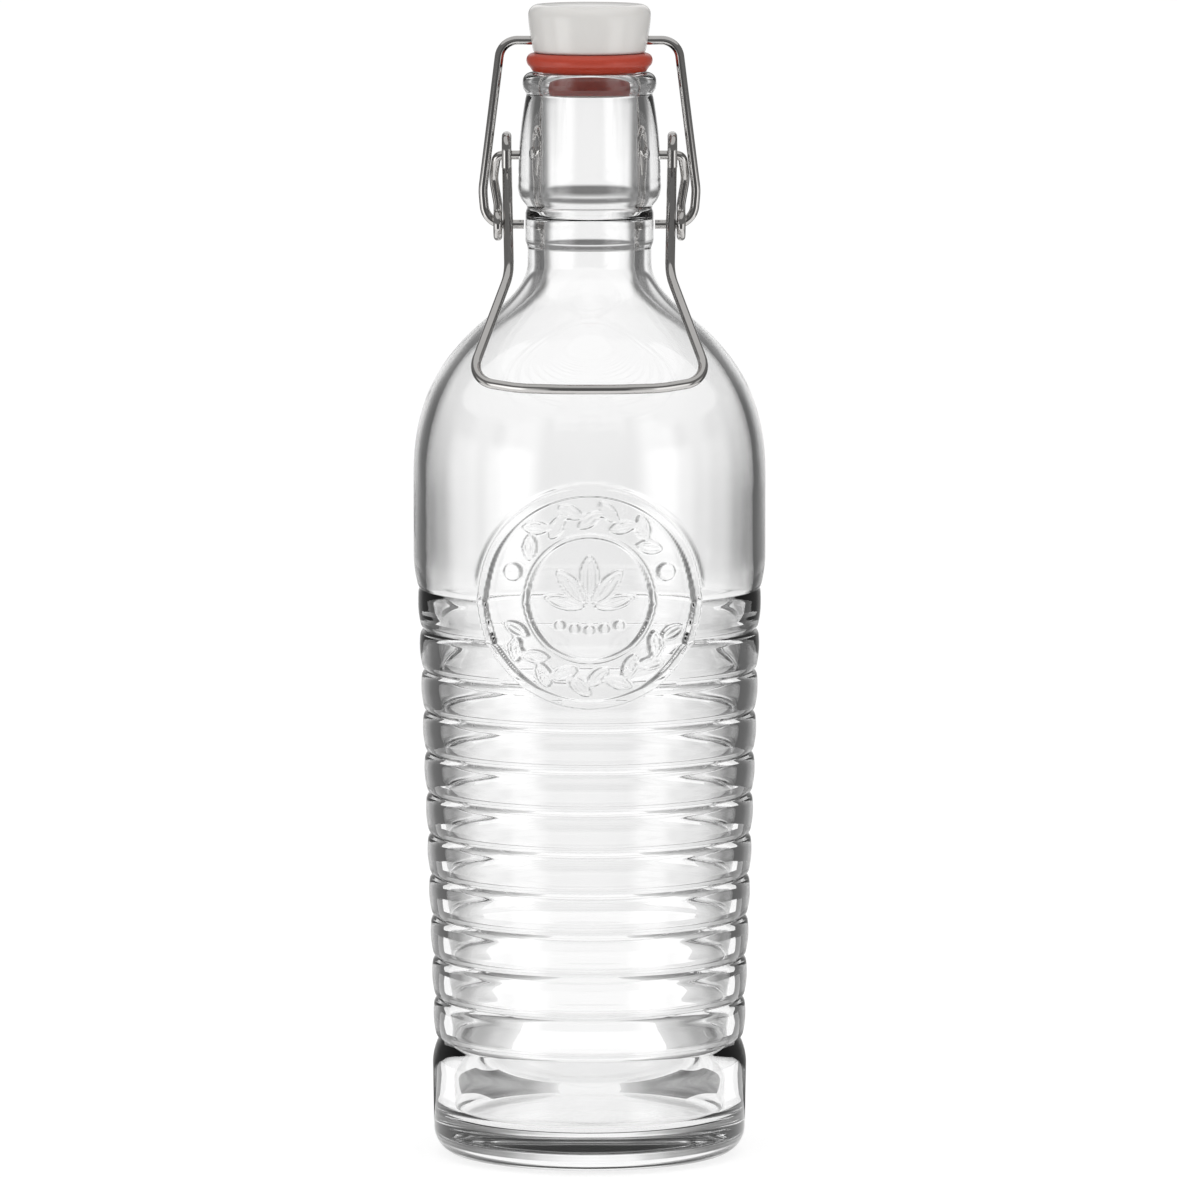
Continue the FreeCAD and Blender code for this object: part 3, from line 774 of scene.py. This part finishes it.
head = [(0.0, HEAD_TOP)]
for k in range(1, CROWN_RINGS + 1):
    share = k / CROWN_RINGS
    head.append((CROWN_R * share, HEAD_TOP - CROWN_RISE * share**2))
head += arc(head[-1], (HEAD_R - 0.75, HEAD_TOP - 1.15), (HEAD_R, HEAD_TOP - 3.2), 10)
head += bezier(head[-1], (HEAD_R, HEAD_TOP - 6.0), (HEAD_LOW_R + 0.75, HEAD_LOW + 3.4),
               (HEAD_LOW_R + 0.35, HEAD_LOW + 1.0), 12)
head += arc(head[-1], (HEAD_LOW_R + 0.05, HEAD_LOW + 0.3), (HEAD_LOW_R - 0.5, HEAD_LOW), 4)
head += rounded([head[-1], (STEM_R, HEAD_LOW), (STEM_R, NOSE_TOP), (NOSE_R, NOSE_TOP),
                 (NOSE_R - 0.1, NOSE_TOP - 0.8), (NOSE_R - 2.0, NOSE_TOP - NOSE_H),
                 (0.0, NOSE_TOP - NOSE_H)], 0.35)[1:]
stopper = turned("stopper_head", head, 96)

# %% [markdown]
# The yoke's crossbar runs through the head in a hole. A Boolean with a long cylinder cuts it,
# and smooth shading that stops at 40 degrees keeps the rims of its two mouths crisp.

# %% Crossbar hole
CROSSBAR_UP = 3.25
CROSSBAR = HEAD_LOW + CROSSBAR_UP
HOLE_R = 1.35
DRILL_LONG = 40

clear_selection()
bpy.ops.mesh.primitive_cylinder_add(vertices=40, radius=HOLE_R * MM, depth=DRILL_LONG * MM,
                                    location=(0, 0, CROSSBAR * MM), rotation=(0, math.pi / 2, 0))
tool = bpy.context.object
pick(stopper)
cut = stopper.modifiers.new("hole", "BOOLEAN")
cut.operation = "DIFFERENCE"
cut.object = tool
bpy.ops.object.modifier_apply(modifier=cut.name)
bpy.data.objects.remove(tool)
bpy.ops.object.shade_smooth_by_angle(angle=math.radians(40))
stopper.data.materials.append(white)
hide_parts("stopper")
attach(stopper, "stopper_body")
print("stopper has", triangles(stopper), "triangles")

# %% [markdown]
# The gasket is a fat ring with a rounded outer lip and a plug that reaches into the mouth. It is
# turned like the glass, from a profile that closes on itself, because a torus has no plug.

# %% Gasket
GASKET_R = 16.5
GASKET_FOOT_R = 14.6
PLUG_R = 10.6
GASKET_BORE = STEM_R + 0.03
GASKET_FACE = LIP_TOP + 0.25

fat_ring = rounded([(GASKET_BORE, GASKET_TOP), (GASKET_R - 2.6, GASKET_TOP),
                    (GASKET_R - 1.5, GASKET_TOP - 0.05)], 0.3)
fat_ring += bezier(fat_ring[-1], (GASKET_R + 0.4, GASKET_TOP - 0.3), (GASKET_R + 0.55, GASKET_FACE + 2.2),
                   (GASKET_R - 0.75, GASKET_FACE + 1.3), 12)
fat_ring += rounded([fat_ring[-1], (GASKET_FOOT_R + 0.35, GASKET_FACE + 0.05), (GASKET_FOOT_R, GASKET_FACE),
                     (BORE_R + 0.4, GASKET_FACE), (PLUG_R + 0.6, GASKET_FACE - 1.0),
                     (PLUG_R, PLUG_LOW), (GASKET_BORE, PLUG_LOW)], 0.45)[1:]
fat_ring.append(fat_ring[0])
gasket = turned("gasket_ring", fat_ring, 96)
gasket.data.materials.append(rubber)
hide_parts("gasket")
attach(gasket, "stopper_body")
print("gasket from", round(PLUG_LOW, 2), "to", round(GASKET_TOP, 2), "mm")

# %% [markdown]
# The wires are already right in shape: bent round bar with flat cut ends. Each one is a copy
# of its solid's mesh, merged so that light runs smoothly round the bar, and creased only at
# the cut ends. A bevelled curve would look the same, but it could drift off the solid.

# %% Wires
WIRE_BODIES = {"yoke_wire": "yoke", "handle_wire": "lever", "left_crank": "lever",
               "right_crank": "lever"}

for node, body in WIRE_BODIES.items():
    pick(frame["nodes"][node])
    bpy.ops.object.duplicate()
    wire = bpy.context.object
    for key in list(wire.keys()):        # the copy drops the marks that the frame put on its solid
        del wire[key]
    bpy.ops.object.parent_clear(type="CLEAR_KEEP_TRANSFORM")
    wire.name = wire.data.name = "bright_" + node
    bpy.ops.object.mode_set(mode="EDIT")
    bpy.ops.mesh.select_all(action="SELECT")
    bpy.ops.mesh.remove_doubles(threshold=0.000008)
    bpy.ops.object.mode_set(mode="OBJECT")
    bpy.ops.mesh.customdata_custom_splitnormals_clear()
    bpy.ops.object.shade_smooth_by_angle(angle=math.radians(50))
    wire.data.materials.clear()
    wire.data.materials.append(steel)
    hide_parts(node)
    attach(wire, body)
    print(wire.name, triangles(wire), "triangles")

# %% [markdown]
# A plain pale floor that glows a little, so that it stays white right up to the horizon and
# the bottle's foot still leaves a soft trace on it.

# %% Floor
FLOOR_SIZE = 30          # metres
FLOOR_DROP = 0.0004      # just under the foot, so the two faces don't fight
FLOOR_GLOW = 0.80
MOTTLE_MM = 60.0

floor_paint, tree = new_material("plain pale floor")
place = add_node(tree, "ShaderNodeTexCoord")
mottle = add_node(tree, "ShaderNodeTexNoise", inputs={"Scale": per_mm(MOTTLE_MM), "Detail": 2.0},
                  links={"Vector": place.outputs["Object"]})
tint = add_node(tree, "ShaderNodeValToRGB", links={"Fac": mottle.outputs["Fac"]})
tint.color_ramp.elements[0].color = linear("#8E8E8E")
tint.color_ramp.elements[1].color = linear("#949494")
shader = add_node(tree, "ShaderNodeBsdfPrincipled",
                  inputs={"Roughness": 0.9, "Specular IOR Level": 0.0, "Emission Color": linear("#FFFFFF"),
                          "Emission Strength": FLOOR_GLOW},
                  links={"Base Color": tint.outputs["Color"]})
add_node(tree, "ShaderNodeOutputMaterial", links={"Surface": shader.outputs["BSDF"]})

clear_selection()
bpy.ops.mesh.primitive_plane_add(size=FLOOR_SIZE, location=(0, 0, -FLOOR_DROP))
floor = bpy.context.object
floor.name = "floor"
bpy.ops.object.transform_apply(location=True)
floor.data.materials.append(floor_paint)
print("floor of", FLOOR_SIZE, "m laid")

# %% [markdown]
# Glass shows what stands around it. A drum of graded card goes round the bottle: white behind
# it, darkening to the sides, with light strips further round. Where the glass bends the view
# a little it stays white, and where it bends it far it meets the dark card, which draws the
# outline. The grading follows the direction seen from the camera, so it suits every view.

# %% Direction on the card
def bearing_from_camera(tree, place):
    """Angle round the axis, 0 straight behind the bottle as the camera sees it, + to the right."""
    stand = add_node(tree, "ShaderNodeVectorTransform",
                     settings={"vector_type": "POINT", "convert_from": "CAMERA", "convert_to": "WORLD"},
                     inputs={"Vector": (0.0, 0.0, 0.0)})
    away = add_node(tree, "ShaderNodeVectorMath", settings={"operation": "MULTIPLY"},
                    inputs={1: (-1.0, -1.0, 0.0)}, links={0: stand.outputs["Vector"]})
    across = add_node(tree, "ShaderNodeVectorMath", settings={"operation": "CROSS_PRODUCT"},
                      links={0: place.outputs["Object"], 1: away.outputs["Vector"]})
    along = add_node(tree, "ShaderNodeVectorMath", settings={"operation": "DOT_PRODUCT"},
                     links={0: place.outputs["Object"], 1: away.outputs["Vector"]})
    across_up = add_node(tree, "ShaderNodeSeparateXYZ", links={"Vector": across.outputs["Vector"]})
    return add_node(tree, "ShaderNodeMath", settings={"operation": "ARCTAN2"},
                    links={0: across_up.outputs["Z"], 1: along.outputs["Value"]})


print("cards are graded by the direction from the camera")

# %% [markdown]
# The grades are brightness by angle: 0 is straight behind the bottle and 180 is where the
# camera stands. They aren't the same left and right, because an even tent looks lifeless.

# %% Grades round the drum
GRADES = ((-180, 0.10), (-150, 0.12), (-134, 1.9), (-118, 1.9), (-106, 0.20), (-97, 0.90), (-84, 0.90),
          (-74, 0.12), (-60, 0.12), (-38, 0.14), (-22, 0.36), (-15, 0.62), (-9, 0.94), (0, 0.98),
          (5, 0.92), (10, 0.78), (15, 0.54), (22, 0.30), (38, 0.13), (60, 0.12), (74, 0.13),
          (84, 0.70), (97, 0.70), (106, 0.15), (118, 1.5), (134, 1.5), (150, 0.12), (180, 0.10))


def grade_ramps(tree, angle):
    """Two ramps, one for each side, because a ramp holds at most 32 stops; the angle picks the side."""
    out = []
    for side in (-1, 1):
        marks = sorted((abs(a) / 180, v) for a, v in GRADES if a * side >= 0)
        share = add_node(tree, "ShaderNodeMath", settings={"operation": "MULTIPLY"},
                         inputs={1: side / math.pi}, links={0: angle})
        ramp = add_node(tree, "ShaderNodeValToRGB", links={"Fac": share.outputs[0]})
        stops = ramp.color_ramp
        stops.interpolation = "EASE"
        while len(stops.elements) < len(marks):
            stops.elements.new(0.5)
        for stop, (at, value) in zip(stops.elements, marks):
            stop.position = at
            stop.color = (value, value, value, 1.0)
        out.append(ramp)
    right = add_node(tree, "ShaderNodeMath", settings={"operation": "GREATER_THAN"}, inputs={1: 0.0},
                     links={0: angle})
    return add_node(tree, "ShaderNodeMix", settings={"data_type": "RGBA"},
                    links={0: right.outputs[0], 6: out[0].outputs["Color"], 7: out[1].outputs["Color"]})


print("grades", len(GRADES), "from", min(v for _, v in GRADES), "to", max(v for _, v in GRADES))

# %% [markdown]
# Three things change with height. Behind the neck the white is wider, because the neck is
# narrow; higher up the card turns to one middle grey, which the grooves and the relief pick up;
# and above that the middle is white again for the solid base, which looks steeply upwards.

# %% Card paint
HIGH_WIDE = (17, 30)     # degrees either side that stay white behind the neck
HIGH_FROM = (0.11, 0.21)
HIGH_WHITE = 1.05
FADE_FROM = (0.25, 0.30)
FADE_TO = 0.20
CLEAR_FROM = (0.33, 0.38)


def ramp_up(tree, value, low, high, start=0.0, end=1.0):
    """A soft passage from start to end while the value goes from low to high."""
    node = add_node(tree, "ShaderNodeMapRange", settings={"interpolation_type": "SMOOTHSTEP"},
                    inputs={"From Min": low, "From Max": high, "To Min": start, "To Max": end},
                    links={"Value": value})
    return node.outputs["Result"]


def multiply(tree, a, b):
    return add_node(tree, "ShaderNodeMath", settings={"operation": "MULTIPLY"}, links={0: a, 1: b}).outputs[0]


def towards_grey(tree, share, colour, level):
    """The colour, mixed by share with a grey of that level."""
    node = add_node(tree, "ShaderNodeMix", settings={"data_type": "RGBA"},
                    inputs={7: (level, level, level, 1.0)}, links={0: share, 6: colour})
    return node.outputs[2]


card_paint, tree = new_material("graded studio card")
place = add_node(tree, "ShaderNodeTexCoord")
height = add_node(tree, "ShaderNodeSeparateXYZ", links={"Vector": place.outputs["Object"]}).outputs["Z"]
bearing = bearing_from_camera(tree, place)
graded = grade_ramps(tree, bearing.outputs[0])
turn_off = add_node(tree, "ShaderNodeMath", settings={"operation": "ABSOLUTE"}, links={0: bearing.outputs[0]})
wide_from, wide_to = (math.radians(v) for v in HIGH_WIDE)
near_back = ramp_up(tree, turn_off.outputs[0], wide_from, wide_to, 1.0, 0.0)
lift = multiply(tree, near_back, ramp_up(tree, height, *HIGH_FROM))
lit = towards_grey(tree, lift, graded.outputs[2], HIGH_WHITE)
faded = towards_grey(tree, ramp_up(tree, height, *FADE_FROM), lit, FADE_TO)
middle = multiply(tree, ramp_up(tree, height, *CLEAR_FROM), near_back)
card_tone = towards_grey(tree, middle, faded, 1.0)
glow = add_node(tree, "ShaderNodeEmission", links={"Color": card_tone})
add_node(tree, "ShaderNodeOutputMaterial", links={"Surface": glow.outputs["Emission"]})
print(card_paint.name, "has", len(tree.nodes), "nodes")

# %% [markdown]
# The drum is an open cylinder round the bottle, and the camera stands outside it. So it is left
# out of the camera's sight and of the shadows; the glass and the wires still see it.

# %% Card drum
CARD_R = 0.45
CARD_HIGH = 0.62


def studio_only(card, paint):
    """A card is a tool of the studio: the camera, the shadows and the floor don't see it."""
    card.data.materials.append(paint)
    card.visible_camera = False
    card.visible_shadow = False
    card.visible_diffuse = False


clear_selection()
bpy.ops.mesh.primitive_cylinder_add(vertices=128, radius=CARD_R, depth=CARD_HIGH, end_fill_type="NOTHING",
                                    location=(0, 0, CARD_HIGH / 2))
drum = bpy.context.object
drum.name = "card_drum"
bpy.ops.object.transform_apply(location=True)
studio_only(drum, card_paint)
print("drum", CARD_HIGH, "m high at", CARD_R, "m")

# %% [markdown]
# A card disc lies on the ground too, and only two wedges of it behind the bottle are painted;
# the rest is clear. The thick base looks down onto them, and they give it the dark bands on
# both sides of its white middle. Like the drum, the wedges turn with the camera.

# %% Ground wedges
WEDGE_FROM = 11
WEDGE_TO = 42
WEDGE_IN = 0.043
GROUND_CARD_DROP = 0.0002    # between the foot and the floor

wedge_paint, tree = new_material("two wedges of ground card")
place = add_node(tree, "ShaderNodeTexCoord")
bearing = bearing_from_camera(tree, place)
graded = grade_ramps(tree, bearing.outputs[0])
turn_off = add_node(tree, "ShaderNodeMath", settings={"operation": "ABSOLUTE"}, links={0: bearing.outputs[0]})
wedge_mid = math.radians((WEDGE_FROM + WEDGE_TO) / 2)
wedge_half = math.radians((WEDGE_TO - WEDGE_FROM) / 2)
in_wedge = add_node(tree, "ShaderNodeMath", settings={"operation": "COMPARE"},
                    inputs={1: wedge_mid, 2: wedge_half}, links={0: turn_off.outputs[0]})
from_axis = add_node(tree, "ShaderNodeVectorMath", settings={"operation": "LENGTH"},
                     links={0: place.outputs["Object"]})
past_foot = add_node(tree, "ShaderNodeMath", settings={"operation": "GREATER_THAN"}, inputs={1: WEDGE_IN},
                     links={0: from_axis.outputs["Value"]})
painted = multiply(tree, in_wedge.outputs[0], past_foot.outputs[0])
glow = add_node(tree, "ShaderNodeEmission", links={"Color": graded.outputs[2]})
through = add_node(tree, "ShaderNodeBsdfTransparent")
wedges = add_node(tree, "ShaderNodeMixShader",
                  links={0: painted, 1: through.outputs["BSDF"], 2: glow.outputs["Emission"]})
add_node(tree, "ShaderNodeOutputMaterial", links={"Surface": wedges.outputs["Shader"]})

clear_selection()
bpy.ops.mesh.primitive_circle_add(vertices=128, radius=CARD_R, fill_type="NGON",
                                  location=(0, 0, -GROUND_CARD_DROP))
ground_card = bpy.context.object
ground_card.name = "card_ground"
bpy.ops.object.transform_apply(location=True)
studio_only(ground_card, wedge_paint)
print("wedges from", WEDGE_FROM, "to", WEDGE_TO, "degrees on both sides")

# %% [markdown]
# The world is a plain pale grey, and white where the camera looks straight at it. Three soft
# boxes light the head, the gasket and the floor.
# They are kept out of mirror reflections, where the cards already give the highlights.

# %% World and soft boxes
TENT_GREY = 0.75         # what glass and wire see past the cards
BACKDROP = 1.0           # what the camera itself sees

world = bpy.data.worlds.new("pale tent")
bpy.context.scene.world = world
world.use_nodes = True
tree = world.node_tree
tree.nodes.clear()
seen = add_node(tree, "ShaderNodeLightPath")
tent_tone = add_node(tree, "ShaderNodeMix", settings={"data_type": "RGBA"},
                     inputs={6: (TENT_GREY, TENT_GREY, TENT_GREY, 1.0), 7: (BACKDROP, BACKDROP, BACKDROP, 1.0)},
                     links={0: seen.outputs["Is Camera Ray"]})
tent_light = add_node(tree, "ShaderNodeBackground", links={"Color": tent_tone.outputs[2]})
add_node(tree, "ShaderNodeOutputWorld", links={"Surface": tent_light.outputs["Background"]})


def soft_box(name, spot, width, height, watts):
    """A rectangular lamp that looks at the middle of the bottle."""
    clear_selection()
    bpy.ops.object.light_add(type="AREA", location=spot)
    lamp = bpy.context.object
    lamp.name = name
    lamp.data.shape = "RECTANGLE"
    lamp.data.size = width
    lamp.data.size_y = height
    lamp.data.energy = watts
    lamp.visible_glossy = False
    lamp.visible_transmission = False
    aim = Vector((0, 0, 0.2)) - Vector(spot)
    lamp.rotation_euler = aim.to_track_quat("-Z", "Y").to_euler()


soft_box("soft box left", (-1.1, -1.5, 0.9), 0.5, 1.2, 3)
soft_box("soft box right", (1.3, -1.2, 0.8), 0.4, 1.2, 2)
soft_box("soft box above", (0.0, -0.4, 1.7), 1.0, 1.0, 6)

bpy.context.scene.view_settings.view_transform = "Standard"
